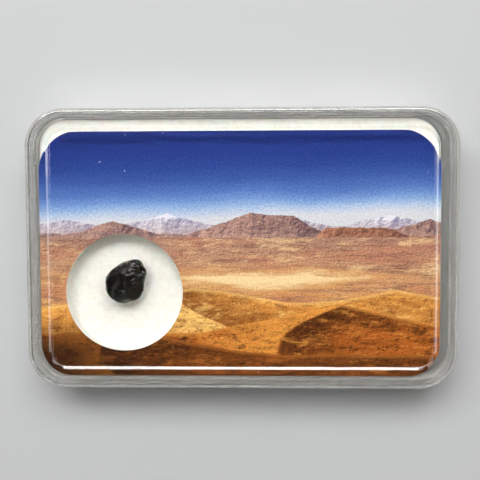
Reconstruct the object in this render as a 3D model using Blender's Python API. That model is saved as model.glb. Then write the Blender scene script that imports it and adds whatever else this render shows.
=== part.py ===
"""A small black tektite in a clear keepsake box, on white foam, behind a printed card.

The frame has +Z up and +X along the box's long side. Its origin is the middle of the underside.
Every plate of the box is concentric: its outline is the box's own outline moved inward by an inset.
"""

import math

import bmesh
import bpy
from mathutils import Matrix, Vector

MM = 0.001
CLEARANCE = 0.3 * MM

# Box, outside
BOX_LENGTH = 90.4 * MM
BOX_WIDTH = 58.9 * MM
BOX_HEIGHT = 12.4 * MM
BOX_CORNER = 8.0 * MM
BOX_SOFT_EDGE = 0.8 * MM
CORNER_STEPS = 10
EDGE_STEPS = 3

# Base tray
FLOOR_THICK = 1.2 * MM
SHOULDER_HEIGHT = 5.6 * MM
LIP_HEIGHT = 9.2 * MM
LIP_INSET = 1.15 * MM
LIP_THICK = 0.7 * MM
HOLLOW_INSET = LIP_INSET + LIP_THICK
MOULD_SOFTENING = 0.25 * MM

# Lid: a raised rim round a panel that is pressed down, of even thickness. The rim is a little wider on the
# box's short sides.
SKIRT_THICK = 0.9 * MM
LID_THICK = 1.0 * MM
RIM_WIDTH = 4.0 * MM
SIDE_RIM_EXTRA = 0.35 * MM
PANEL_DROP = 0.3 * MM
STEP_WIDTH = 0.75 * MM
STEP_UNDERSIDE_INSET = 3.8 * MM
SKIRT_BOTTOM = SHOULDER_HEIGHT + CLEARANCE

# Foam: a full sheet, and above it a sheet with a round hole. Both stop short of the tray's right wall.
FOAM_THICK = 3.0 * MM
FOAM_INSET = HOLLOW_INSET + CLEARANCE
FOAM_SHORT = 1.2 * MM
FLOOR_FOAM_LOW = FLOOR_THICK + CLEARANCE
FLOOR_FOAM_TOP = FLOOR_FOAM_LOW + FOAM_THICK
WELL_FOAM_LOW = FLOOR_FOAM_TOP + CLEARANCE
WELL_FOAM_TOP = WELL_FOAM_LOW + FOAM_THICK

# Card, pushed towards the left and lower walls
CARD_LENGTH = 85.0 * MM
CARD_WIDTH = 52.4 * MM
CARD_THICK = 0.4 * MM
CARD_LEFT = -43.1 * MM
CARD_FRONT = -27.4 * MM
CARD_LOW = WELL_FOAM_TOP + CLEARANCE
FRONT_CORNER = 6.6 * MM
BACK_CORNER = 8.8 * MM
CARD_CORNER_STEPS = 10

# Window in the card, and the foam's hole under it
WINDOW_X = -25.1 * MM
WINDOW_Y = -9.5 * MM
WINDOW_RADIUS = 12.5 * MM
WELL_RADIUS = 12.7 * MM
ROUND_STEPS = 64

# Stone: the radius of its outline every 30 degrees, counted from +X towards +Y
STONE_X = -25.0 * MM
STONE_Y = -7.4 * MM
STONE_LOW = FLOOR_FOAM_TOP + CLEARANCE
STONE_ABOVE_GIRTH = 2.9 * MM
STONE_BELOW_GIRTH = 2.6 * MM
STONE_FOOT = 2.25 * MM
STONE_OUTLINE = [r * MM for r in (4.1, 5.1, 5.45, 4.3, 3.85, 4.1, 4.2, 4.65, 4.6, 4.5, 4.4, 4.3)]
STONE_FULLNESS = 0.72
# Scoops in the stone: each one's middle and the way it faces, its half width and its depth
STONE_SCOOPS = [
    (Vector((-1.35, -0.35, 2.05)) * MM, Vector((-0.30, -0.36, 0.88)), 2.8 * MM, 0.3 * MM),
    (Vector((2.9, -1.3, 1.45)) * MM, Vector((0.52, -0.22, 0.82)), 1.9 * MM, 0.22 * MM),
    (Vector((-2.1, 2.55, 1.5)) * MM, Vector((-0.42, 0.62, 0.66)), 1.6 * MM, 0.12 * MM),
    (Vector((-0.4, -3.75, 1.05)) * MM, Vector((-0.05, -0.7, 0.7)), 2.1 * MM, 0.16 * MM),
    (Vector((-4.25, -0.3, 0.3)) * MM, Vector((-1.0, 0.0, 0.15)), 0.95 * MM, 0.22 * MM),
    (Vector((4.2, 0.2, 0.2)) * MM, Vector((1.0, 0.05, 0.15)), 0.95 * MM, 0.25 * MM),
    (Vector((3.55, 2.6, 1.35)) * MM, Vector((0.62, 0.1, 0.75)), 0.95 * MM, 0.16 * MM),
]


def clear_scene():
    for obj in list(bpy.data.objects):
        bpy.data.objects.remove(obj, do_unlink=True)


def new_collection(name):
    collection = bpy.data.collections.new(name)
    bpy.context.scene.collection.children.link(collection)
    return collection


def new_material(name, colour, roughness, transmission=0.0, ior=1.5):
    material = bpy.data.materials.new(name)
    material.use_nodes = True
    shader = material.node_tree.nodes["Principled BSDF"]
    shader.inputs["Base Color"].default_value = (*colour, 1.0)
    shader.inputs["Roughness"].default_value = roughness
    shader.inputs["Metallic"].default_value = 0.0
    shader.inputs["Transmission Weight"].default_value = transmission
    shader.inputs["IOR"].default_value = ior
    material.diffuse_color = (*colour, 1.0)
    return material


def add_object(name, data, collection, material=None):
    obj = bpy.data.objects.new(name, data)
    collection.objects.link(obj)
    if material:
        data.materials.append(material)
    return obj


def hide_cutter(obj):
    obj.hide_render = True
    obj.display_type = "WIRE"
    return obj


def concentric_plate(name, inset, low, high, soft_low=0.0, soft_high=0.0, steps=EDGE_STEPS):
    """A mesh: the box's outline moved inward by inset, from low to high, with softened end edges."""
    length, width = BOX_LENGTH - 2 * inset, BOX_WIDTH - 2 * inset
    bm = bmesh.new()
    middle = Matrix.Translation((0, 0, (low + high) / 2))
    bmesh.ops.create_cube(bm, size=1.0, matrix=middle @ Matrix.Diagonal((length, width, high - low, 1)))
    upright = [e for e in bm.edges if abs(e.verts[0].co.z - e.verts[1].co.z) > (high - low) / 2]
    bmesh.ops.bevel(
        bm,
        geom=upright,
        offset=BOX_CORNER - inset,
        segments=CORNER_STEPS,
        profile=0.5,
        affect="EDGES",
    )
    for level, softness in ((low, soft_low), (high, soft_high)):
        if softness:
            rim = [e for e in bm.edges if all(abs(v.co.z - level) < 1e-6 for v in e.verts)]
            bmesh.ops.bevel(
                bm,
                geom=rim,
                offset=softness,
                segments=steps,
                profile=0.5,
                affect="EDGES",
                clamp_overlap=False,
            )
    bmesh.ops.recalc_face_normals(bm, faces=bm.faces)
    mesh = bpy.data.meshes.new(name)
    bm.to_mesh(mesh)
    bm.free()
    return mesh


def tapered_plate(name, low_inset, low, high):
    """A concentric plate whose sides lean outward as the slope of the lid's step does."""
    lean = STEP_WIDTH / PANEL_DROP
    mesh = concentric_plate(name, low_inset, low, high)
    wider = concentric_plate(name + "_top", low_inset - lean * (high - low), low, high)
    for vertex, above in zip(mesh.vertices, wider.vertices):
        if vertex.co.z > (low + high) / 2:
            vertex.co = above.co
        vertex.co.x -= math.copysign(SIDE_RIM_EXTRA, vertex.co.x)
    bpy.data.meshes.remove(wider)
    return mesh


def boolean(obj, operation, other):
    modifier = obj.modifiers.new(f"{operation.lower()} {other.name}", "BOOLEAN")
    modifier.operation = operation
    modifier.solver = "EXACT"
    modifier.object = other


def shade_soft(obj, angle=35):
    obj.data.shade_smooth()
    obj.data.set_sharp_from_angle(angle=math.radians(angle))


def make_base_tray(parts, cutters, material):
    body = concentric_plate("base_tray", 0, 0, SHOULDER_HEIGHT, soft_low=BOX_SOFT_EDGE)
    tray = add_object("base_tray", body, parts, material)
    lip_root = SHOULDER_HEIGHT - FLOOR_THICK
    lip = concentric_plate("tray_lip", LIP_INSET, lip_root, LIP_HEIGHT)
    hollow = concentric_plate(
        "tray_hollow",
        HOLLOW_INSET,
        FLOOR_THICK,
        LIP_HEIGHT + FLOOR_THICK,
        soft_low=MOULD_SOFTENING,
    )
    boolean(tray, "UNION", hide_cutter(add_object("tray_lip", lip, cutters)))
    boolean(tray, "DIFFERENCE", hide_cutter(add_object("tray_hollow", hollow, cutters)))
    shade_soft(tray)


def make_lid(parts, cutters, material):
    body = concentric_plate("lid", 0, SKIRT_BOTTOM, BOX_HEIGHT, soft_high=BOX_SOFT_EDGE)
    lid = add_object("lid", body, parts, material)
    ceiling = BOX_HEIGHT - LID_THICK
    hollow = concentric_plate(
        "lid_hollow",
        SKIRT_THICK,
        SKIRT_BOTTOM - FLOOR_THICK,
        ceiling,
        soft_high=MOULD_SOFTENING,
    )
    hollow = hide_cutter(add_object("lid_hollow", hollow, cutters))
    under = STEP_UNDERSIDE_INSET + STEP_WIDTH
    pressed = tapered_plate("lid_pressed_panel", under, ceiling - PANEL_DROP, BOX_HEIGHT)
    boolean(hollow, "DIFFERENCE", hide_cutter(add_object("lid_pressed_panel", pressed, cutters)))
    over = RIM_WIDTH + STEP_WIDTH
    recess = tapered_plate("lid_recess", over, BOX_HEIGHT - PANEL_DROP, BOX_HEIGHT + PANEL_DROP)
    boolean(lid, "DIFFERENCE", hollow)
    boolean(lid, "DIFFERENCE", hide_cutter(add_object("lid_recess", recess, cutters)))
    shade_soft(lid)


def foam_sheet(name, low, high):
    """A plate that fills the tray, but for a gap at the right wall."""
    mesh = concentric_plate(name, FOAM_INSET, low, high)
    for vertex in mesh.vertices:
        if vertex.co.x > 0:
            vertex.co.x -= FOAM_SHORT
    return mesh


def make_foam_floor(parts, material):
    sheet = foam_sheet("foam_floor", FLOOR_FOAM_LOW, FLOOR_FOAM_TOP)
    add_object("foam_floor", sheet, parts, material)


def make_foam_well(parts, cutters, material):
    sheet = foam_sheet("foam_well", WELL_FOAM_LOW, WELL_FOAM_TOP)
    foam = add_object("foam_well", sheet, parts, material)
    bm = bmesh.new()
    place = Matrix.Translation((WINDOW_X, WINDOW_Y, (WELL_FOAM_LOW + WELL_FOAM_TOP) / 2))
    bmesh.ops.create_cone(
        bm,
        cap_ends=True,
        segments=ROUND_STEPS,
        radius1=WELL_RADIUS,
        radius2=WELL_RADIUS,
        depth=FOAM_THICK * 2,
        matrix=place,
    )
    hole = bpy.data.meshes.new("well_hole")
    bm.to_mesh(hole)
    bm.free()
    boolean(foam, "DIFFERENCE", hide_cutter(add_object("well_hole", hole, cutters)))
    shade_soft(foam)


def arc_between(start, end, bulge, steps):
    """Points from start up to but not at end, on an arc that stands out to the right by bulge."""
    chord = end - start
    half = chord.length / 2
    radius = (half * half + bulge * bulge) / (2 * bulge)
    outward = Vector((chord.y, -chord.x)).normalized()
    centre = (start + end) / 2 - outward * (radius - bulge)
    sweep = 2 * math.asin(half / radius)
    spoke = start - centre
    return [centre + Matrix.Rotation(sweep * k / steps, 2) @ spoke for k in range(steps)]


def card_outline():
    """Anticlockwise, with round corners that are wider at the back."""
    left, front = CARD_LEFT, CARD_FRONT
    right, back = left + CARD_LENGTH, front + CARD_WIDTH
    corners = (
        (Vector((right, front)), Vector((-1, 0)), Vector((0, 1)), FRONT_CORNER),
        (Vector((right, back)), Vector((0, -1)), Vector((-1, 0)), BACK_CORNER),
        (Vector((left, back)), Vector((1, 0)), Vector((0, -1)), BACK_CORNER),
        (Vector((left, front)), Vector((0, 1)), Vector((1, 0)), FRONT_CORNER),
    )
    points = []
    for corner, before, after, radius in corners:
        start, end = corner + before * radius, corner + after * radius
        points += arc_between(start, end, radius * (1 - math.sqrt(0.5)), CARD_CORNER_STEPS)
        points.append(end)
    return points


def window_outline():
    turns = [2 * math.pi * k / ROUND_STEPS for k in range(ROUND_STEPS)]
    middle = Vector((WINDOW_X, WINDOW_Y))
    return [middle + WINDOW_RADIUS * Vector((math.cos(t), math.sin(t))) for t in turns]


def make_card(parts, material):
    curve = bpy.data.curves.new("card", "CURVE")
    curve.dimensions = "2D"
    curve.fill_mode = "BOTH"
    curve.extrude = CARD_THICK / 2
    for outline in (card_outline(), window_outline()):
        spline = curve.splines.new("POLY")
        spline.points.add(len(outline) - 1)
        for point, place in zip(spline.points, outline):
            point.co = (place.x, place.y, 0, 1)
        spline.use_cyclic_u = True
    card = add_object("card", curve, parts, material)
    card.location.z = CARD_LOW + CARD_THICK / 2


def outline_radius(angle):
    """The stone's radius at an angle, on a smooth closed curve through the listed radii."""
    count = len(STONE_OUTLINE)
    place = (angle / (2 * math.pi) * count) % count
    k, t = int(place), place % 1
    a, b, c, d = (STONE_OUTLINE[(k + shift) % count] for shift in (-1, 0, 1, 2))
    return b + 0.5 * t * (c - a + t * (2 * a - 5 * b + 4 * c - d + t * (3 * (b - c) + d - a)))


def stone_point(direction):
    """Where the stone's surface lies in a direction from its middle, before its foot is flattened."""
    reach = math.hypot(direction.x, direction.y)
    angle = math.atan2(direction.y, direction.x)
    spread = outline_radius(angle) * reach**STONE_FULLNESS
    tall = STONE_ABOVE_GIRTH if direction.z > 0 else STONE_BELOW_GIRTH
    place = Vector((math.cos(angle) * spread, math.sin(angle) * spread, direction.z * tall))
    for middle, facing, half_width, depth in STONE_SCOOPS:
        radius = (half_width**2 + depth**2) / (2 * depth)
        centre = middle + facing.normalized() * (radius - depth)
        away = place - centre
        if away.length < radius:
            place = centre + away.normalized() * radius
    return place


def make_stone(parts, material):
    bm = bmesh.new()
    bmesh.ops.create_icosphere(bm, subdivisions=4, radius=1.0)
    for vertex in bm.verts:
        place = stone_point(vertex.co.normalized())
        place.z = max(place.z, -STONE_FOOT)
        vertex.co = place
    mesh = bpy.data.meshes.new("stone")
    bm.to_mesh(mesh)
    bm.free()
    stone = add_object("stone", mesh, parts, material)
    stone.location = (STONE_X, STONE_Y, STONE_LOW + STONE_FOOT)
    shade_soft(stone, 50)


def main():
    clear_scene()
    parts = new_collection("boxed_tektite")
    cutters = new_collection("cutters")
    clear = new_material("clear_styrene", (0.95, 0.96, 0.96), 0.03, transmission=1.0, ior=1.59)
    foam = new_material("white_foam", (0.93, 0.93, 0.92), 0.9)
    print_face = new_material("printed_card", (0.45, 0.33, 0.28), 0.45)
    glass = new_material("black_tektite", (0.015, 0.015, 0.016), 0.32, ior=1.49)
    make_base_tray(parts, cutters, clear)
    make_lid(parts, cutters, clear)
    make_foam_floor(parts, foam)
    make_foam_well(parts, cutters, foam)
    make_card(parts, print_face)
    make_stone(parts, glass)


main()
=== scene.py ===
# %% [markdown]
# # A black tektite in its keepsake box
#
# The object is a small piece of natural glass, kept in a flat clear box. The box has a tray and a push-fit
# lid. White foam fills the tray, a printed card lies on the foam, and a round window in the card shows the
# stone in a well. We load the finished construction first. Every piece that we make is then placed in that
# same frame, in metres, so nothing has to be fitted by eye.

# %% Load the construction
import math

import bmesh
import bpy
import numpy as np
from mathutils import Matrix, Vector, noise


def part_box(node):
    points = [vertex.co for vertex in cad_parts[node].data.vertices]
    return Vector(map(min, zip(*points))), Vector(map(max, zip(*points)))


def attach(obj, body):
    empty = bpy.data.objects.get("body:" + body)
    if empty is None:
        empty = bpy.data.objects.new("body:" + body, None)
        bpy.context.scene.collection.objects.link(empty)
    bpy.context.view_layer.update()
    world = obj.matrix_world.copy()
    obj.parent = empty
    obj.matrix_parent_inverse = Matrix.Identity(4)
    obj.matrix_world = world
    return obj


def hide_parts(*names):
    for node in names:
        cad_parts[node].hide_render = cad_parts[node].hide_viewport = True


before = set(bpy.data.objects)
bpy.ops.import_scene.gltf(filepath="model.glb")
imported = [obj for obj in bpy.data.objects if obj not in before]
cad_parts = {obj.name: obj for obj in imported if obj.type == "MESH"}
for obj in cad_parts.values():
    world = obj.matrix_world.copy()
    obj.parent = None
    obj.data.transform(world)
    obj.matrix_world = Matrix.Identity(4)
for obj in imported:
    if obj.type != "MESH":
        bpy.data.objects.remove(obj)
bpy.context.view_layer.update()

print("nodes:", ", ".join(sorted(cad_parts)))

# %% [markdown]
# ## Sizes
#
# The box's corners come from the frame. What a bounding box can't tell, such as the width of the lid's rim,
# is named here once, in metres. Every part of the box is concentric with its outline, so one number, the
# inset from the outline, places each wall.

# %% Driving sizes
MM = 0.001

LID_LOW, LID_HIGH = (Vector(v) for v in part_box("lid"))
TRAY_LOW, TRAY_HIGH = (Vector(v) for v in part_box("base_tray"))
CARD_LOW, CARD_HIGH = (Vector(v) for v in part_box("card"))
WELL_LOW, WELL_HIGH = (Vector(v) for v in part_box("foam_well"))
STONE_LOW, STONE_HIGH = (Vector(v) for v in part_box("stone"))

CORNER_RADIUS = 8.0 * MM
CORNER_STEPS = 20
SOFT_EDGE = 0.8 * MM
SOFT_STEPS = 8
MOULD_EDGE = 0.14 * MM
SHARP_BEND = math.radians(14)
MARGIN = 0.1 * MM

SHOULDER = 5.6 * MM
TRAY_FLOOR = 1.2 * MM
LIP_INSET = 1.15 * MM
LIP_THICK = 0.7 * MM
HOLLOW_INSET = LIP_INSET + LIP_THICK

SKIRT_THICK = 0.9 * MM
LID_THICK = 1.0 * MM
RIM_WIDTH = 4.0 * MM
SIDE_RIM_EXTRA = 0.35 * MM
STEP_WIDTH = 0.75 * MM
PANEL_DROP = 0.3 * MM
UNDER_STEP_INSET = 3.8 * MM

WINDOW = Vector((-25.1, -9.5)) * MM
WINDOW_RADIUS = 12.5 * MM
WELL_RADIUS = 12.7 * MM

print(f"box {(LID_HIGH.x - LID_LOW.x) / MM:.1f} x {(LID_HIGH.y - LID_LOW.y) / MM:.1f} mm")

# %% [markdown]
# ## Modelling helpers
#
# Blender's modelling operators act on whatever is selected. Loading leaves pieces selected, so each new
# piece starts with everything deselected. Inside edit mode we choose faces and edges by a test on their
# place or direction, as a person would click on them.

# %% Helpers that start, select and finish a piece
def start(shape, name, **settings):
    """Add one primitive with nothing else selected, its size and place put in its mesh."""
    if bpy.context.object and bpy.context.object.mode != "OBJECT":
        bpy.ops.object.mode_set(mode="OBJECT")
    bpy.ops.object.select_all(action="DESELECT")
    getattr(bpy.ops.mesh, f"primitive_{shape}_add")(**settings)
    piece = bpy.context.object
    piece.name = piece.data.name = name
    bpy.ops.object.transform_apply(location=True, rotation=True, scale=True)
    return piece


def pick(kind, test):
    """In edit mode, select just the faces, edges or verts that pass a test."""
    bpy.ops.mesh.select_mode(type={"faces": "FACE", "edges": "EDGE", "verts": "VERT"}[kind])
    bpy.ops.mesh.select_all(action="DESELECT")
    mesh = bpy.context.object.data
    shape = bmesh.from_edit_mesh(mesh)
    for item in getattr(shape, kind):
        item.select_set(bool(test(item)))
    bmesh.update_edit_mesh(mesh)


def editing(piece):
    """Make a piece the active one and go into edit mode."""
    bpy.ops.object.select_all(action="DESELECT")
    bpy.context.view_layer.objects.active = piece
    piece.select_set(True)
    bpy.ops.object.mode_set(mode="EDIT")


def finish_editing():
    bpy.ops.object.mode_set(mode="OBJECT")


def lift(height):
    """Extrude what is selected straight up, or down if the height is negative."""
    bpy.ops.mesh.extrude_region_move(TRANSFORM_OT_translate={"value": (0, 0, height)})


def modify(piece, kind, **settings):
    """Add one modifier, set it and apply it."""
    bpy.ops.object.select_all(action="DESELECT")
    bpy.context.view_layer.objects.active = piece
    piece.select_set(True)
    modifier = piece.modifiers.new(kind.lower(), kind)
    for key, value in settings.items():
        setattr(modifier, key, value)
    bpy.ops.object.modifier_apply(modifier=modifier.name)


def triangles(piece):
    return sum(len(p.vertices) - 2 for p in piece.data.polygons)


def report(piece):
    corners = [Vector(c) for c in piece.bound_box]
    size = [max(c[k] for c in corners) - min(c[k] for c in corners) for k in range(3)]
    print(piece.name, "x".join(f"{s / MM:.2f}" for s in size), "mm,", triangles(piece), "triangles")


def level(z):
    """A test for edges that lie in the plane at height z."""
    return lambda item: all(abs(v.co.z - z) < 1e-6 for v in item.verts)


# %% [markdown]
# ## The camera and the studio
#
# The picture was taken from almost straight above, with the box filling the frame. Its sides lean in a
# little towards the lower edge, which fixes the camera's small tilt. The light comes from beyond the card's
# upper edge: the stone and the card throw soft shadows downwards. So one broad soft light hangs beyond that
# edge. Four weaker strips hang where the lid mirrors them. A sloping step runs all round the lid's panel,
# and seen from the camera each stretch of it mirrors one narrow place overhead. A strip that hangs in that
# place draws a clean white line along the step, at the sides and round the two corners in front.

# %% Camera
CAMERA_PLACE = Vector((6.6, 15.1, 200.0)) * MM
CAMERA_TURN = [math.radians(a) for a in (-4.01, 2.06, -0.23)]
SENSOR = 36.0
PICTURE_WIDTH = 480
FOCAL_PIXELS = 905.0

camera = bpy.data.cameras.new("camera")
camera.sensor_width = SENSOR
camera.lens = SENSOR * FOCAL_PIXELS / PICTURE_WIDTH
camera.clip_start = 0.01
camera_object = bpy.data.objects.new("camera", camera)
camera_object.location = CAMERA_PLACE
camera_object.rotation_euler = CAMERA_TURN
bpy.context.scene.collection.objects.link(camera_object)
bpy.context.scene.camera = camera_object
print(f"lens {camera.lens:.1f} mm at {CAMERA_PLACE.z / MM:.0f} mm height")


# %% Lights
STUDIO_HEIGHT = 0.62
AIM_HEIGHT = 0.01
# Each strip: its name, its place overhead, its size, its brightness, and the point of the box that it faces
STRIPS = [
    ("side_left", (-0.355, -0.055), (0.42, 0.08), 2.9, (0.0, 0.0)),
    ("side_right", (0.300, -0.055), (0.42, 0.08), 2.1, (0.0, 0.0)),
    ("corner_left", (-0.192, 0.178), (0.42, 0.09), 2.4, (-0.014, 0.0)),
    ("corner_right", (0.149, 0.176), (0.42, 0.09), 2.4, (-0.020, 0.018)),
]


def soft_light(name, place, size, brightness, aim=(0.0, 0.0), tint=(1, 1, 1)):
    """A rectangular light that faces a point of the box. Its brightness is that of its surface."""
    data = bpy.data.lights.new(name, "AREA")
    data.shape = "RECTANGLE"
    data.size, data.size_y = size
    data.energy = brightness * math.pi * size[0] * size[1]
    data.color = tint
    light = bpy.data.objects.new(name, data)
    light.location = place
    facing = Vector((*aim, AIM_HEIGHT)) - Vector(place)
    light.rotation_euler = facing.to_track_quat("-Z", "Y").to_euler()
    bpy.context.scene.collection.objects.link(light)
    return light


soft_light("key", (-0.06, 0.42, STUDIO_HEIGHT), (0.86, 0.27), 11.0, tint=(1.0, 1.0, 0.985))
for name, spot, size, brightness, aim in STRIPS:
    soft_light(name, (*spot, STUDIO_HEIGHT), size, brightness, aim)
soft_light("front", (0.0, -0.70, 0.16), (0.90, 0.12), 0.8)
print("lights:", len(STRIPS) + 2)

# %% How light is shown
# Painted tones come out as they are given. Light that the clear lid bends on its way to matt things isn't
# blurred, so the foam and the stone inside are lit as they really are.
bpy.context.scene.view_settings.view_transform = "Standard"
bpy.context.scene.cycles.blur_glossy = 0.0

# %% Floor
FLOOR_SIZE = 2.0
FLOOR_GAP = 0.05 * MM
floor = start("plane", "floor", size=FLOOR_SIZE, location=(0, 0, -FLOOR_GAP))

# %% [markdown]
# ## Shader maths as plain expressions
#
# A material is a board of nodes. To keep its maths readable, one small class wraps a socket and gives it
# the usual operators, so that `1 - mask` adds the Math node that does it. A second class holds the board,
# with one method that adds any other node.

# %% A socket with operators, and a board of nodes
class Wire:
    def __init__(self, board, socket):
        self.board, self.socket = board, socket

    def maths(self, operation, *others):
        values = dict(enumerate((self, *others)))
        return self.board.node("ShaderNodeMath", {"operation": operation}, values)

    def __add__(self, other):
        return self.maths("ADD", other)

    __radd__ = __add__

    def __mul__(self, other):
        return self.maths("MULTIPLY", other)

    __rmul__ = __mul__

    def __sub__(self, other):
        return self.maths("SUBTRACT", other)

    def __rsub__(self, other):
        return self * -1 + other

    def __truediv__(self, other):
        return self.maths("DIVIDE", other)

    def __pow__(self, power):
        return self.maths("POWER", power)

    def most(self, other):
        return self.maths("MAXIMUM", other)

    def size(self):
        return self.maths("ABSOLUTE")

    def wave(self):
        return self.maths("SINE")

    def ramp(self, low, high, start=0.0, end=1.0):
        """Smoothly from start to end as this goes from low to high."""
        values = {"Value": self, "From Min": low, "From Max": high, "To Min": start, "To Max": end}
        return self.board.node("ShaderNodeMapRange", {"interpolation_type": "SMOOTHSTEP"}, values)


class Board:
    """The nodes of one material, or of the surroundings."""

    def __init__(self, owner):
        self.material = owner if hasattr(owner, "node_tree") else bpy.data.materials.new(owner)
        self.material.use_nodes = True
        self.nodes = self.material.node_tree.nodes
        self.links = self.material.node_tree.links
        self.shader = self.nodes.get("Principled BSDF")

    def put(self, socket, value):
        if isinstance(value, Wire):
            self.links.new(value.socket, socket)
        else:
            socket.default_value = value

    def node(self, kind, settings=None, values=None, out=0):
        """Add a node: its settings first, then the values or links of its sockets."""
        made = self.nodes.new(kind)
        for key, value in (settings or {}).items():
            if key == "stops":
                while len(made.color_ramp.elements) < len(value):
                    made.color_ramp.elements.new(0.5)
                for element, (place, colour) in zip(made.color_ramp.elements, value):
                    element.position, element.color = place, colour
            else:
                setattr(made, key, value)
        for key, value in (values or {}).items():
            self.put(made.inputs[key], value)
        return Wire(self, made.outputs[out])

    def set(self, **values):
        """Set or link sockets of the Principled shader, written with underscores for spaces."""
        for key, value in values.items():
            self.put(self.shader.inputs[key.replace("_", " ")], value)

    def place(self):
        """The point's own place on the piece, in metres, as three wires."""
        where = self.node("ShaderNodeTexCoord", out=3)
        parts = [self.node("ShaderNodeSeparateXYZ", values={"Vector": where}, out=k) for k in range(3)]
        return where, *parts

    def vector(self, x, y, z=0.0):
        return self.node("ShaderNodeCombineXYZ", values={"X": x, "Y": y, "Z": z})

    def cloud(self, vector, scale, detail=3.0, roughness=0.5, distortion=0.0, kind="FBM"):
        """Fractal noise from 0 to 1, or sharp-crested noise of another kind."""
        values = {"Vector": vector, "Scale": scale, "Detail": detail}
        values |= {"Roughness": roughness, "Distortion": distortion}
        return self.node("ShaderNodeTexNoise", {"noise_type": kind}, values)

    def cells(self, vector, scale):
        """The distance to the nearest of a scatter of points."""
        return self.node("ShaderNodeTexVoronoi", {"feature": "F1"}, {"Vector": vector, "Scale": scale})

    def blend(self, factor, first, second, mode="MIX"):
        """Mix two colours."""
        settings = {"data_type": "RGBA", "blend_type": mode, "clamp_factor": True}
        return self.node("ShaderNodeMix", settings, {0: factor, 6: first, 7: second}, 2)

    def bands(self, value, stops):
        """A colour ramp: (place, colour) pairs from 0 to 1."""
        return self.node("ShaderNodeValToRGB", {"stops": stops}, {0: value})

    def bump(self, height, distance, strength=1.0):
        values = {"Height": height, "Distance": distance, "Strength": strength}
        return self.node("ShaderNodeBump", values=values)


def tone(red, green, blue):
    """A colour given as it looks on a screen, 0 to 255, turned into the linear values that shaders use."""
    parts = [c / 255 for c in (red, green, blue)]
    return (*[c / 12.92 if c <= 0.04045 else ((c + 0.055) / 1.055) ** 2.4 for c in parts], 1.0)


# %% [markdown]
# ## The surroundings
#
# The lid is flat and faces the camera, so it mirrors whatever is straight above it. A bright ceiling would
# lay a grey veil over the card and the stone. The studio is therefore pale all round and dark overhead, as
# when a black cloth hangs behind the camera. It is brighter on the window's side, beyond the card's top.

# %% Surroundings
CEILING_STRENGTH = 0.015
CEILING_EDGE = (0.72, 0.93)
WINDOW_SIDE = 0.62
ROOM_SIDE = 0.05
ROOM_TURN = (-0.75, 0.55)
WARM_WHITE = (1.0, 0.92, 0.78, 1.0)

world = bpy.data.worlds.new("studio")
bpy.context.scene.world = world
world.use_nodes = True
studio = Board(world)
direction = studio.node("ShaderNodeTexCoord")
parts = [studio.node("ShaderNodeSeparateXYZ", values={"Vector": direction}, out=k) for k in (1, 2)]
towards, height = parts
around = towards.ramp(*ROOM_TURN, ROOM_SIDE, WINDOW_SIDE)
background = studio.nodes["Background"]
studio.put(background.inputs["Color"], WARM_WHITE)
overhead = height.ramp(*CEILING_EDGE)
studio.put(background.inputs["Strength"], around * (1 - overhead) + overhead * CEILING_STRENGTH)

# %% [markdown]
# ## Finishes: floor, clear plastic, foam
#
# The box is clear polystyrene: plain transmission, its own index of refraction and a polished surface with
# a trace of rub marks. The narrow slope between the lid's rim and its panel is a little hazy from the
# mould, and it mirrors the lights overhead, which is why it shows as a white line. Its plastic is also
# tinted grey, which is painted shade: it dims the line where the slope mirrors no light. The upright walls
# are thick to look down through, so their plastic is a little milky.

# %% Floor finish
def floor_finish():
    board = Board("floor_paper")
    where, *_ = board.place()
    speckle = board.cloud(where, 900.0, 2.0)
    board.set(Base_Color=board.blend(speckle * 0.06, tone(172, 174, 177), tone(158, 160, 163)))
    board.set(Roughness=0.75)
    return board.material


floor.data.materials.append(floor_finish())


# %% Clear plastic
PLASTIC_IOR = 1.59


def clear_finish(name, roughness, marks, colour=(0.99, 0.99, 0.985, 1.0), clarity=1.0):
    board = Board(name)
    where, *_ = board.place()
    values = {0: where, 1: (1.0, 7.0, 1.0)}
    stretched = board.node("ShaderNodeVectorMath", {"operation": "MULTIPLY"}, values)
    rub = board.cloud(stretched, 260.0, 4.0, 0.6)
    board.set(Base_Color=colour, Transmission_Weight=clarity, IOR=PLASTIC_IOR)
    board.set(Roughness=rub.ramp(0.45, 0.8, roughness, roughness + marks))
    return board.material


clear_plastic = clear_finish("clear_plastic", 0.015, 0.03)
# Painted shade: the step's grey tint darkens the line it shows. Its haze is its rougher, rub-marked finish.
hazy_and_shade_tinted_plastic = clear_finish("clear_plastic_hazy_step", 0.05, 0.04, (0.80, 0.80, 0.79, 1.0))
milky_plastic = clear_finish("clear_plastic_thick_walls", 0.02, 0.02, (0.98, 0.98, 0.97, 1.0), 0.8)


# %% Foam
def foam_finish():
    board = Board("white_foam")
    where, *_ = board.place()
    cells = board.cells(where, 2600.0)
    pore_pits_and_shade = cells.ramp(0.05, 0.55, 1.0, 0.0)
    mottle = board.cloud(where, 900.0, 3.0, 0.6)
    colour = board.blend(mottle.ramp(0.35, 0.75), tone(254, 254, 249), tone(245, 243, 234))
    # Painted shade: the pores are coloured a darker grey for the shade inside them, and the same mask sinks
    # them as small pits in the bump below.
    board.set(Base_Color=board.blend(pore_pits_and_shade * 0.18, colour, tone(216, 214, 207)))
    board.set(Roughness=0.85, Subsurface_Weight=0.15, Subsurface_Scale=0.4 * MM)
    board.set(Normal=board.bump(pore_pits_and_shade * -1.0 + mottle * 1.5, 0.07 * MM, 0.8))
    return board.material


white_foam = foam_finish()
print("finishes:", clear_plastic.name, hazy_and_shade_tinted_plastic.name, white_foam.name)

# %% [markdown]
# ## The lid
#
# The lid is one moulding: a raised rim runs round a panel that is pressed down, and a skirt slides over the
# tray's lip. A cube at the lid's size has its four upright edges rounded. The top is then inset for the
# rim and inset again while it drops, which makes the sloped step. The same two moves on the underside,
# after the hollow is pushed up, keep the wall's thickness even. The rim is a little wider on the box's
# short sides, so the points of the step and the panel there are moved inward at the end.

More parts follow.
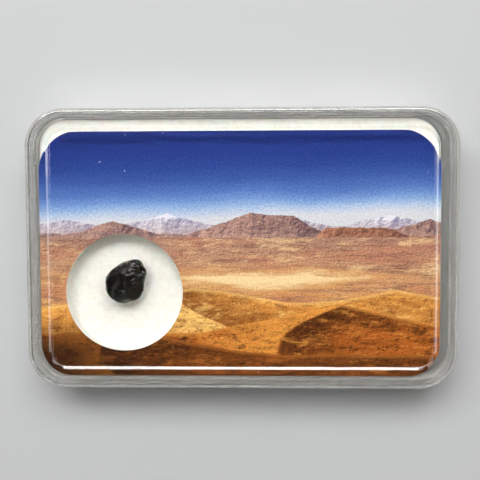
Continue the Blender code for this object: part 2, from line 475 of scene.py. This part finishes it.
# %% A slab with the box's outline
def slab(name, inset, low, high):
    """A block with the box's outline moved inward by an inset, its upright edges rounded."""
    size = LID_HIGH - LID_LOW
    wide, deep = size.x - 2 * inset, size.y - 2 * inset
    place = ((LID_LOW.x + LID_HIGH.x) / 2, (LID_LOW.y + LID_HIGH.y) / 2, (low + high) / 2)
    piece = start("cube", name, size=1, location=place, scale=(wide, deep, high - low))
    editing(piece)
    pick("edges", lambda e: abs(e.verts[0].co.z - e.verts[1].co.z) > (high - low) / 2)
    radius = CORNER_RADIUS - inset
    bpy.ops.mesh.bevel(offset=radius, segments=CORNER_STEPS, affect="EDGES", clamp_overlap=False)
    finish_editing()
    return piece


def soften(piece, z):
    """Round over the edges of the flat end at height z."""
    editing(piece)
    pick("edges", level(z))
    bpy.ops.mesh.bevel(offset=SOFT_EDGE, segments=SOFT_STEPS, affect="EDGES", clamp_overlap=False)
    finish_editing()


def polish(piece):
    """Tiny rounds on every edge that is still sharp, then smooth shading that keeps flats flat."""
    modify(piece, "BEVEL", width=MOULD_EDGE, segments=3, limit_method="ANGLE", angle_limit=SHARP_BEND)
    piece.data.shade_smooth()
    modify(piece, "WEIGHTED_NORMAL", keep_sharp=True, weight=80)


# %% Build the lid
def flat_end(z, up):
    """A test for the faces that close a block at height z."""
    return lambda f: f.normal.z * up > 0.9 and abs(f.calc_center_median().z - z) < 1e-6


lid = slab("lid_clear", 0, LID_LOW.z, LID_HIGH.z)
soften(lid, LID_HIGH.z)
editing(lid)
pick("faces", flat_end(LID_HIGH.z, 1))
bpy.ops.mesh.inset(thickness=RIM_WIDTH - SOFT_EDGE)
bpy.ops.mesh.inset(thickness=STEP_WIDTH, depth=-PANEL_DROP)
pick("faces", flat_end(LID_LOW.z, -1))
bpy.ops.mesh.inset(thickness=SKIRT_THICK)
lift(LID_HIGH.z - LID_THICK - LID_LOW.z)
bpy.ops.mesh.inset(thickness=UNDER_STEP_INSET - SKIRT_THICK)
bpy.ops.mesh.inset(thickness=STEP_WIDTH, depth=PANEL_DROP)
inner = LID_HIGH - Vector((1, 1, 0)) * (UNDER_STEP_INSET - MARGIN)
for side in (-1, 1):
    pick("verts", lambda v: 0 < side * v.co.x < inner.x and abs(v.co.y) < inner.y)
    bpy.ops.transform.translate(value=(-side * SIDE_RIM_EXTRA, 0, 0))
finish_editing()
polish(lid)


# %% Finish the step and the walls of the lid
def corner_inset(place):
    """How far inside the box's outline a point lies."""
    x = max(0.0, abs(place.x) - (LID_HIGH.x - CORNER_RADIUS))
    y = max(0.0, abs(place.y) - (LID_HIGH.y - CORNER_RADIUS))
    return CORNER_RADIUS - math.hypot(x, y) if x and y else CORNER_RADIUS


def on_step(face):
    """True on the slope between the rim and the panel, on the lid's upper side."""
    centre = face.center
    sunk = (LID_HIGH.z - centre.z) / PANEL_DROP
    inset = min(LID_HIGH.x - abs(centre.x), LID_HIGH.y - abs(centre.y))
    return 0.08 < sunk < 0.92 and inset > RIM_WIDTH * 0.9 and face.normal.z > 0.2


def in_wall(face):
    """True on the upright walls, which are as thick to look down through as they are tall."""
    centre = face.center
    edge = min(LID_HIGH.x - abs(centre.x), LID_HIGH.y - abs(centre.y))
    return min(edge, corner_inset(centre)) < HOLLOW_INSET + MARGIN


for finish in (clear_plastic, hazy_and_shade_tinted_plastic, milky_plastic):
    lid.data.materials.append(finish)
for face in lid.data.polygons:
    face.material_index = 1 if on_step(face) else 2 if in_wall(face) else 0
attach(lid, "root")
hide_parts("lid")
report(lid)

# %% [markdown]
# ## The tray
#
# The tray's wall is flush with the lid's skirt up to a shoulder. A thinner lip goes on up from there,
# inside the skirt. It is made like the lid: the top is inset and lifted for the lip, inset again for the
# lip's thickness, and pushed down to the floor of the hollow.

# %% Build the tray
tray = slab("tray_clear", 0, TRAY_LOW.z, SHOULDER)
soften(tray, TRAY_LOW.z)
editing(tray)
pick("faces", flat_end(SHOULDER, 1))
bpy.ops.mesh.inset(thickness=LIP_INSET)
lift(TRAY_HIGH.z - SHOULDER)
bpy.ops.mesh.inset(thickness=LIP_THICK)
lift(TRAY_FLOOR - TRAY_HIGH.z)
finish_editing()
polish(tray)
for finish in (clear_plastic, milky_plastic):
    tray.data.materials.append(finish)
for face in tray.data.polygons:
    face.material_index = int(in_wall(face))
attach(tray, "root")
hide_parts("base_tray")
report(tray)

# %% [markdown]
# ## The foam
#
# Two sheets of white closed-cell foam fill the tray. They stop a little short of its right wall. The upper
# one has a round hole, punched with a slight draw-in at its edge, and the card lies on it. Foam is soft and
# a little uneven, so each sheet is remeshed into small even faces, smoothed so that its cut edges round
# over, and displaced by a fine noise.

# %% Helpers for the sheets
FOAM_VOXEL = 0.55 * MM
FOAM_GAP = 0.06 * MM
FOAM_SIDE_GAP = 0.36 * MM
FOAM_BUMP = 0.12 * MM
FOAM_GRAIN = 1.4 * MM


def uneven(piece):
    """Round the cut edges and make the skin a little uneven."""
    modify(piece, "REMESH", mode="VOXEL", voxel_size=FOAM_VOXEL, adaptivity=0.0)
    modify(piece, "SMOOTH", factor=0.5, iterations=2)
    relief = bpy.data.textures.new(piece.name + "_relief", "CLOUDS")
    relief.noise_scale = FOAM_GRAIN
    relief.noise_depth = 2
    modify(piece, "DISPLACE", texture=relief, strength=FOAM_BUMP, mid_level=0.5, texture_coords="LOCAL")
    piece.data.shade_smooth()


def punch_window(piece, radius, depth, height, sides):
    """Punch the round window through a sheet, with a round cutter whose middle is at a height."""
    place = (WINDOW.x, WINDOW.y, height)
    punch = start("cylinder", "punch", radius=radius, depth=depth, vertices=sides, location=place)
    modify(piece, "BOOLEAN", operation="DIFFERENCE", object=punch, solver="EXACT")
    bpy.data.objects.remove(punch)


def foam_sheet(name, low, high):
    """A slab as long as the frame's sheet, which stops short of the tray's right wall."""
    sheet = slab(name, HOLLOW_INSET + FOAM_SIDE_GAP, low, high)
    for vertex in sheet.data.vertices:
        if vertex.co.x > 0:
            vertex.co.x += WELL_LOW.x + WELL_HIGH.x
    return sheet


# %% Build the two foam sheets
foam_floor = foam_sheet("foam_floor_sheet", TRAY_FLOOR + FOAM_GAP, STONE_LOW.z - FOAM_GAP)
uneven(foam_floor)

foam_well = foam_sheet("foam_well_sheet", WELL_LOW.z, CARD_LOW.z - FOAM_GAP)
punch_window(foam_well, WELL_RADIUS, WELL_HIGH.z, (WELL_LOW.z + WELL_HIGH.z) / 2, 96)
uneven(foam_well)

for sheet, node in ((foam_floor, "foam_floor"), (foam_well, "foam_well")):
    sheet.data.materials.append(white_foam)
    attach(sheet, "root")
    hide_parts(node)
    report(sheet)

# %% [markdown]
# ## The card's picture
#
# The card is printed like a photograph of a desert: deep blue sky, hazy ranges with a little snow, a pale
# plain with scrub and dry water courses, a salt pan, and orange dunes. The print is painted with shader
# maths, with no image. Each layer is a mask, made from a height line that noise bends, and the layers are
# laid over each other from back to front. Shade on the slopes comes from noise read twice, a small step
# apart, so that sides that face the sun come out lighter. A fine grain over it all is the printer's dots.

# %% Print
CARD_WIDTH = CARD_HIGH.y - CARD_LOW.y
HORIZON = 0.60


class Print(Board):
    """A board whose x and y run over the card, in units of the card's short side."""

    def __init__(self, name):
        super().__init__(name)
        _, x, y, _ = self.place()
        self.x = (x - CARD_LOW.x) / CARD_WIDTH
        self.y = (y - CARD_LOW.y) / CARD_WIDTH

    def point(self, across, up, seed=0.0, dx=0.0, dy=0.0):
        """The point scaled across and up, and moved a little."""
        return self.vector((self.x + dx) * across, (self.y + dy) * up, seed)

    def relief(self, across, up, seed, detail=6.0, step=0.006, kind="FBM"):
        """Light and shade of rough ground, about 0, lit from the upper left."""
        here = self.cloud(self.point(across, up, seed), 1.0, detail, 0.6, 0.0, kind)
        there = self.cloud(self.point(across, up, seed, -step, step), 1.0, detail, 0.6, 0.0, kind)
        return here - there

    def wander(self, along, seed, scale, height, detail=4.0):
        """A line that wanders about 0 as another value runs on."""
        return (self.cloud(self.vector(along * scale, seed), 1.0, detail, 0.55) - 0.5) * height

    def below(self, height, soft=0.003):
        """The mask of what lies under a height."""
        return (height - self.y).ramp(-soft, soft)


def crest_line(card, x, base, peaks, seed, scale, rough):
    """The outline of a range along x: the highest of its peaks, with a broken edge."""
    line = card.wander(x, seed, scale, rough, 7.0) + base
    for centre, reach, height in peaks:
        slope = 1 - (x - centre).size() / reach
        line = line + slope.most(0.0) ** 1.25 * height
    return line


def range_layer(card, under, crest, tones, seed, snow_line, haze):
    """A range of hills, lit from the left: flanks by the outline's slope, gullies and rocks by relief."""
    lit, dark = tones
    shift = (card.cloud(card.point(9.0, 13.0, seed + 1), 1.0, 6.0, 0.68) - 0.5) * 0.11
    bent = card.x + shift
    flank = crest(card, bent + 0.012) - crest(card, bent - 0.012)
    gullies = card.relief(17.0, 12.0, seed, 7.0, 0.006, "RIDGED_MULTIFRACTAL")
    rocks = card.relief(58.0, 64.0, seed + 3, 4.0, 0.004)
    patches = card.cloud(card.point(22.0, 44.0, seed + 4), 1.0, 6.0, 0.72)
    light = flank * 20.0 + gullies * 3.0 + rocks * 2.4
    ground = card.blend(light.ramp(-0.9, 0.9), dark, lit)
    ground = card.blend(patches.ramp(0.50, 0.64) * 0.5, ground, dark)
    foot, strength = haze
    mist = card.y.ramp(foot - 0.035, foot + 0.045, strength, 0.0)
    ground = card.blend(mist, ground, tone(198, 166, 150))
    if snow_line is not None:
        height = card.y + light * 0.020 + shift * 0.3 + patches * 0.05
        snow = height.ramp(snow_line, snow_line + 0.012)
        ground = card.blend(snow * 0.9, ground, tone(226, 224, 232))
    return card.blend(card.below(crest(card, card.x), 0.002), under, ground)


def sky(card):
    """Deep blue above, almost white where it meets the hills, paler towards the right."""
    stops = [
        (0.0, tone(206, 208, 214)),
        (0.07, tone(176, 192, 216)),
        (0.13, tone(138, 168, 210)),
        (0.20, tone(106, 140, 199)),
        (0.28, tone(82, 114, 180)),
        (0.42, tone(56, 86, 156)),
        (0.56, tone(43, 68, 141)),
        (0.72, tone(34, 55, 132)),
        (1.0, tone(30, 45, 116)),
    ]
    drift = card.cloud(card.point(3.0, 7.0, 3.0), 1.0, 6.0, 0.6)
    height = (card.y - 0.64) / 0.36 - card.x * 0.07 + 0.03
    return card.bands(height + (drift - 0.5) * 0.14, stops)


def plain_layer(card, under):
    """The flat ground below the hills, streaked by old water courses and dotted with scrub."""
    stops = [
        (0.0, tone(206, 150, 92)),
        (0.25, tone(200, 150, 108)),
        (0.60, tone(184, 140, 112)),
        (1.0, tone(158, 122, 112)),
    ]
    ground = card.bands((card.y - 0.33) / 0.27, stops)
    tint = card.cloud(card.point(2.4, 13.0, 35.0), 1.0, 6.0, 0.62)
    streak = card.cloud(card.point(3.2, 44.0, 21.0), 1.0, 8.0, 0.72)
    fan = card.cloud(card.point(4.5, 17.0, 25.0), 1.0, 8.0, 0.70, 0.6)
    patch = card.cloud(card.point(10.0, 46.0, 29.0), 1.0, 8.0, 0.76)
    course = card.cloud(card.point(2.6, 30.0, 33.0), 1.0, 6.0, 0.66, 0.5)
    scrub = card.relief(80.0, 150.0, 27.0, 4.0, 0.003)
    ground = card.blend(tint.ramp(0.46, 0.60) * 0.5, ground, tone(188, 118, 92))
    ground = card.blend(streak.ramp(0.49, 0.60) * 0.6, ground, tone(138, 92, 82))
    ground = card.blend(fan.ramp(0.50, 0.62) * 0.75, ground, tone(228, 192, 144))
    ground = card.blend(patch.ramp(0.53, 0.62) * 0.65, ground, tone(112, 74, 66))
    ground = card.blend((course - 0.5).size().ramp(0.0, 0.010, 0.6, 0.0), ground, tone(104, 62, 50))
    ground = card.blend(scrub.ramp(-0.18, 0.04, 0.28, 0.0), ground, tone(98, 64, 50))
    ground = card.blend(scrub.ramp(0.04, 0.18) * 0.25, ground, tone(232, 204, 168))
    top = card.wander(card.x, 7.0, 9.0, 0.018, 7.0) + HORIZON - 0.035
    return card.blend(card.below(top), under, ground)


def salt_layer(card, under):
    """A pale salt pan: a long soft lens with ragged shores, which peters out to both sides."""
    shore = card.cloud(card.point(5.0, 38.0, 41.0), 1.0, 8.0, 0.72, 0.3)
    middle = card.wander(card.x, 43.0, 1.7, 0.07, 2.0) + 0.400
    spread = card.x.ramp(0.35, 0.85, -0.02, 0.022) + card.x.ramp(1.0, 1.55, 0.0, -0.05)
    lens = (card.y - middle).size() + (shore - 0.5) * 0.10 - spread
    painted = card.blend(lens.ramp(0.012, 0.045, 0.5, 0.0), under, tone(214, 158, 96))
    return card.blend(lens.ramp(-0.012, 0.020, 0.9, 0.0), painted, tone(236, 214, 164))


def dune_layer(card, under, crest, spine, tones, seed, reach):
    """A dune: its spine runs down from the crest, lit on the left of it and in shade on the right."""
    lit, plain, dark = tones
    ripple = card.cloud(card.point(8.0, 32.0, seed), 1.0, 8.0, 0.70, 0.8)
    sweep = card.cloud(card.point(2.2, 6.0, seed + 2), 1.0, 5.0, 0.6, 1.0)
    relief = card.relief(40.0, 66.0, seed + 4, 5.0, 0.005)
    clump = card.cells(card.point(62.0, 104.0, seed + 8), 1.0)
    patch = card.cloud(card.point(13.0, 30.0, seed + 6), 1.0, 8.0, 0.76, 0.5)
    beside = card.x - spine + (ripple - 0.5) * 0.06
    shade = beside.ramp(-0.006, 0.012) * beside.ramp(0.0, reach, 1.0, 0.05)
    glow = beside.ramp(-reach * 1.2, -0.01, 0.0, 1.0) * beside.ramp(-0.01, 0.0, 1.0, 0.0)
    ground = card.blend(sweep.ramp(0.35, 0.68), plain, card.blend(0.5, plain, dark))
    ground = card.blend(glow * 0.75, ground, lit)
    ground = card.blend(shade * 0.75, ground, dark)
    ground = card.blend(ripple.ramp(0.50, 0.66) * 0.5, ground, lit)
    ground = card.blend(ripple.ramp(0.48, 0.34) * 0.5, ground, dark)
    ground = card.blend(patch.ramp(0.52, 0.62) * 0.6, ground, dark)
    ground = card.blend(relief.ramp(-0.22, 0.02, 0.35, 0.0), ground, dark)
    ground = card.blend(relief.ramp(0.05, 0.24) * 0.3, ground, lit)
    ground = card.blend(clump.ramp(0.16, 0.36, 0.8, 0.0) * patch.ramp(0.44, 0.54), ground, dark)
    rim = (crest - card.y).ramp(0.0, 0.02, 0.5, 0.0)
    ground = card.blend(rim, ground, lit)
    return card.blend(card.below(crest), under, ground)


# %% Paint the card
FAR_PEAKS = [(0.10, 0.16, 0.030), (0.52, 0.22, 0.050), (1.42, 0.20, 0.046), (1.08, 0.10, 0.022)]
NEAR_PEAKS = [(0.30, 0.20, 0.055), (0.86, 0.27, 0.088), (1.03, 0.17, 0.050), (1.58, 0.22, 0.060)]
FAR_TONES = (tone(226, 220, 228), tone(112, 108, 146))
NEAR_TONES = (tone(200, 158, 142), tone(66, 46, 66))
TABLE_TONES = (tone(196, 138, 108), tone(78, 44, 44))
GOLD_TONES = (tone(250, 208, 126), tone(228, 158, 74), tone(112, 58, 22))
ORANGE_TONES = (tone(232, 160, 72), tone(176, 96, 34), tone(44, 17, 9))
BROWN_TONES = (tone(184, 112, 46), tone(130, 70, 27), tone(38, 17, 8))
GRAIN_SIZE = 125.0
GRAIN_STRENGTH = 0.7


def card_print():
    card = Print("printed_card")

    def far(card, x):
        return crest_line(card, x, HORIZON + 0.012, FAR_PEAKS, 2.0, 11.0, 0.034)

    def near(card, x):
        return crest_line(card, x, HORIZON - 0.020, NEAR_PEAKS, 8.0, 9.0, 0.034)

    def table(card, x):
        ends = x.ramp(1.10, 1.17) * x.ramp(1.40, 1.50, 1.0, 0.3)
        return card.wander(x, 14.0, 14.0, 0.022, 7.0) + ends * 0.050 + HORIZON - 0.045

    paint = sky(card)
    paint = range_layer(card, paint, far, FAR_TONES, 5.0, 0.660, (0.60, 0.5))
    paint = range_layer(card, paint, near, NEAR_TONES, 11.0, 0.692, (0.56, 0.35))
    paint = range_layer(card, paint, table, TABLE_TONES, 17.0, None, (0.53, 0.3))
    paint = plain_layer(card, paint)
    paint = salt_layer(card, paint)

    x, y = card.x, card.y
    crest = crest_line(card, x, 0.285, [(0.62, 0.60, 0.075), (1.45, 0.45, 0.065)], 51.0, 2.2, 0.04)
    spine = (y * 12.0 + 0.6).wave() * 0.10 - y * 0.9 + card.wander(y, 52.0, 9.0, 0.06) + 0.93
    paint = dune_layer(card, paint, crest, spine, GOLD_TONES, 55.0, 0.42)
    crest = crest_line(card, x, 0.175, [(1.22, 0.62, 0.120)], 61.0, 2.0, 0.04)
    spine = (y * 15.0 + 2.1).wave() * 0.09 + y * 1.1 + card.wander(y, 62.0, 9.0, 0.06) + 0.90
    paint = dune_layer(card, paint, crest, spine, ORANGE_TONES, 65.0, 0.34)
    crest = crest_line(card, x, 0.085, [(0.30, 0.70, 0.115)], 71.0, 2.0, 0.04)
    spine = (y * 14.0 + 4.0).wave() * 0.07 - y * 0.6 + card.wander(y, 72.0, 9.0, 0.06) + 0.36
    paint = dune_layer(card, paint, crest, spine, BROWN_TONES, 75.0, 0.5)
    corner = x.ramp(0.05, 0.52, 0.9, 0.0) * y.ramp(0.07, 0.27, 1.0, 0.0)
    paint = card.blend(corner, paint, tone(34, 15, 8))
    grain = card.cloud(card.point(GRAIN_SIZE, GRAIN_SIZE), 1.0, 3.0, 0.7)
    stops = [(0.0, (0.30, 0.30, 0.32, 1)), (1.0, (0.70, 0.70, 0.68, 1))]
    speck = card.bands(grain.ramp(0.25, 0.75), stops)
    paint = card.blend(GRAIN_STRENGTH, paint, speck, "OVERLAY")
    card.set(Base_Color=paint, Roughness=grain.ramp(0.2, 0.8, 0.45, 0.58), Specular_IOR_Level=0.08)
    card.set(Normal=card.bump(grain, 0.01 * MM, 0.3))
    return card.material


def paper_core():
    board = Board("paper_core")
    where, *_ = board.place()
    fibre = board.cloud(where, 3000.0, 3.0)
    board.set(Base_Color=board.blend(fibre, tone(244, 243, 238), tone(226, 225, 219)), Roughness=0.8)
    return board.material


# %% [markdown]
# ## The card
#
# A cube at the card's size, with its upright edges rounded by bevels, wider at the back than in front. The
# window is a hole made with a Boolean. The print is on the upper face only, so the cut edges show the
# white core.

# %% Build the card
FRONT_CORNER = 6.6 * MM
BACK_CORNER = 8.8 * MM
PAPER_EDGE = 0.05 * MM
PAPER_BEND = math.radians(50)
middle = (CARD_LOW + CARD_HIGH) / 2


def upright_at(edge, side):
    """Whether an edge stands upright at the card's back (1) or its front (-1)."""
    one, other = (v.co for v in edge.verts)
    return abs(one.z - other.z) > (CARD_HIGH.z - CARD_LOW.z) / 2 and (one.y - middle.y) * side > 0


card = start("cube", "card_printed", size=1, location=middle, scale=CARD_HIGH - CARD_LOW)
editing(card)
for side, radius in ((-1, FRONT_CORNER), (1, BACK_CORNER)):
    pick("edges", lambda e: upright_at(e, side))
    bpy.ops.mesh.bevel(offset=radius, segments=CORNER_STEPS, affect="EDGES", clamp_overlap=False)
finish_editing()
punch_window(card, WINDOW_RADIUS, CARD_HIGH.z, CARD_HIGH.z, 160)
modify(card, "BEVEL", width=PAPER_EDGE, segments=2, limit_method="ANGLE", angle_limit=PAPER_BEND)
card.data.materials.append(card_print())
card.data.materials.append(paper_core())
for face in card.data.polygons:
    face.material_index = int(not (face.normal.z > 0.9 and face.center.z > middle.z))
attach(card, "root")
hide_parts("card")
report(card)

# %% [markdown]
# ## The stone
#
# Natural glass of this kind cools into a lump with scoops, folds and pits. A ball with many even faces is
# the start. Its outline follows a smooth closed curve through twelve radii. Large scoops are then cut by
# pressing balls into it. Their rims are worn a little round and ragged. Folds are raised on the narrow end,
# and small hollows cover it all.

# %% The stone's large shape
STONE_CENTRE = Vector((-25.0, -7.4)) * MM
OUTLINE = [r * MM for r in (4.1, 5.1, 5.45, 4.35, 3.95, 4.15, 4.35, 4.65, 4.6, 4.5, 4.4, 4.3)]
FULLNESS = 0.72
GIRTH_HEIGHT = 2.25 * MM
RISE = 2.9 * MM
FALL = 2.6 * MM


def outline_radius(angle):
    """A smooth closed curve through the twelve radii."""
    count = len(OUTLINE)
    place = (angle / (2 * math.pi) * count) % count
    k, t = int(place), place % 1
    a, b, c, d = (OUTLINE[(k + shift) % count] for shift in (-1, 0, 1, 2))
    return b + 0.5 * t * (c - a + t * (2 * a - 5 * b + 4 * c - d + t * (3 * (b - c) + d - a)))


def lump(direction):
    """Where a point of the ball goes on the plain lump."""
    reach = math.hypot(direction.x, direction.y)
    angle = math.atan2(direction.y, direction.x)
    spread = outline_radius(angle) * reach**FULLNESS
    height = direction.z * (RISE if direction.z > 0 else FALL)
    return Vector((math.cos(angle) * spread, math.sin(angle) * spread, height))


# %% Scoops, folds and small hollows
# Each scoop: its middle and the way it faces, its half width and its depth, in millimetres
SCOOPS = [
    ((-1.30, -0.55, 2.10), (-0.13, -0.17, 0.98), 2.75, 0.36),
    ((2.90, -1.30, 1.45), (0.46, -0.34, 0.82), 1.90, 0.22),
    ((-2.10, 2.55, 1.50), (-0.42, 0.62, 0.66), 1.60, 0.12),
    ((-4.40, -0.30, 0.30), (-1.0, 0.0, 0.15), 0.85, 0.14),
    ((4.20, 0.20, 0.20), (1.0, 0.05, 0.15), 0.95, 0.25),
    ((3.55, 2.60, 1.35), (0.62, 0.10, 0.75), 0.95, 0.16),
]
FOLD_CENTRE = Vector((2.2, 2.6, 1.9)) * MM
FOLD_REACH = 3.0 * MM
RIM_WORN = 0.12 * MM
RIM_RAGGED = 0.14 * MM
FOLD_HEIGHT = 1.05 * MM
BROAD_HEIGHT = 0.24 * MM
CREST_HEIGHT = 0.17 * MM
FINE_HEIGHT = 0.05 * MM
CREST_LEVEL = 0.78
CREST_SHIFT = Vector((7, 3, 5)) * MM


def scooped(place):
    """Push a point out of every ball that it lies in, with a worn, slightly ragged rim."""
    for middle, facing, half_width, depth in SCOOPS:
        radius = (half_width**2 + depth**2) / (2 * depth) * MM
        centre = Vector(middle) * MM + Vector(facing).normalized() * (radius - depth * MM)
        away = place - centre
        inside = radius - away.length + RIM_RAGGED * noise.noise(place * 600.0)
        if inside > -RIM_WORN:
            worn = min(inside, RIM_WORN)
            push = (worn + RIM_WORN) ** 2 / (4 * RIM_WORN) + inside - worn
            place = place + away.normalized() * push
    return place


def crests(point, scale, octaves):
    """Sharp-crested noise from 0 to 1."""
    total = sum(0.5**k * (1 - abs(noise.noise(point * scale * 2**k))) for k in range(octaves))
    return total / sum(0.5**k for k in range(octaves))


def skin(place):
    """How far the surface stands out: folds on the narrow end, then broad and fine hollows."""
    folds = max(0.0, 1 - (place - FOLD_CENTRE).length / FOLD_REACH) ** 0.5
    slanted = Vector((place.x * 0.75 + place.y * 0.35, place.y * 1.25 - place.x * 0.3, place.z))
    height = folds * FOLD_HEIGHT * (crests(slanted, 640.0, 2) - CREST_LEVEL)
    height += BROAD_HEIGHT * noise.noise(place * 430.0)
    height += CREST_HEIGHT * (crests(place + CREST_SHIFT, 900.0, 3) - CREST_LEVEL)
    height += FINE_HEIGHT * noise.noise(place * 2600.0)
    return height


# %% Build the stone
stone = start("ico_sphere", "stone_black", subdivisions=7, radius=1.0, location=(0, 0, 0))
for vertex in stone.data.vertices:
    place = scooped(lump(vertex.co.normalized()))
    place += place.normalized() * skin(place)
    place.z = max(place.z, -GIRTH_HEIGHT)
    vertex.co = place + Vector((STONE_CENTRE.x, STONE_CENTRE.y, STONE_LOW.z + GIRTH_HEIGHT))
stone.data.shade_smooth()
report(stone)


# %% The stone's finish
def tektite_finish():
    board = Board("black_tektite")
    where, *_ = board.place()
    patch = board.cloud(where, 700.0, 4.0, 0.6)
    fine = board.cloud(where, 1900.0, 4.0, 0.62)
    colour = board.blend(patch.ramp(0.4, 0.7), tone(2, 2, 2), tone(8, 8, 7))
    crevice = (0.42 - fine * patch * 1.6).ramp(0.0, 0.2)
    board.set(Base_Color=board.blend(crevice * 0.12, colour, tone(40, 34, 26)))
    board.set(Roughness=patch.ramp(0.3, 0.7, 0.15, 0.29), IOR=1.5)
    board.set(Normal=board.bump(fine, 0.05 * MM, 0.6))
    return board.material


stone.data.materials.append(tektite_finish())
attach(stone, "root")
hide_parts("stone")

# %% [markdown]
# ## White crumbs on the lid
#
# A few crumbs of foam cling to the lid, where they show as tiny white dots. Each is a small ball with few
# faces, flattened and turned at random from a fixed seed, then all are joined into one piece.

# %% Scatter the crumbs
# Each crumb: its place across and along the lid and its radius, in millimetres
CRUMBS = [
    (-29.4, 18.3, 0.13), (-24.2, 16.4, 0.11), (-24.0, 23.9, 0.09), (-16.2, 24.2, 0.08),
    (12.4, 10.2, 0.08), (-43.4, 4.7, 0.14), (-43.9, -2.4, 0.10), (27.8, -12.5, 0.08),
    (-8.6, 24.8, 0.08), (38.6, 16.0, 0.09), (43.6, -6.6, 0.09), (3.5, -25.9, 0.09),
    (-14.4, -20.8, 0.07), (31.0, 26.9, 0.10),
]
random = np.random.default_rng(12)
crumbs = []
for x, y, radius in CRUMBS:
    inset = min(LID_HIGH.x / MM - abs(x), LID_HIGH.y / MM - abs(y)) * MM
    top = LID_HIGH.z if inset < RIM_WIDTH else LID_HIGH.z - PANEL_DROP
    place = (x * MM, y * MM, top + radius * 0.3 * MM)
    turn = tuple(random.uniform(0, 3, 3))
    stretch = tuple(random.uniform(0.7, 1.3, 2)) + (0.6,)
    settings = {"location": place, "rotation": turn, "scale": stretch}
    crumbs.append(start("ico_sphere", "crumb", subdivisions=2, radius=radius * MM, **settings))
bpy.ops.object.select_all(action="DESELECT")
for crumb in crumbs:
    crumb.select_set(True)
bpy.context.view_layer.objects.active = crumbs[0]
bpy.ops.object.join()
crumbs = bpy.context.object
crumbs.name = crumbs.data.name = "foam_crumbs"
crumbs.data.materials.append(white_foam)
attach(crumbs, "root")
report(crumbs)
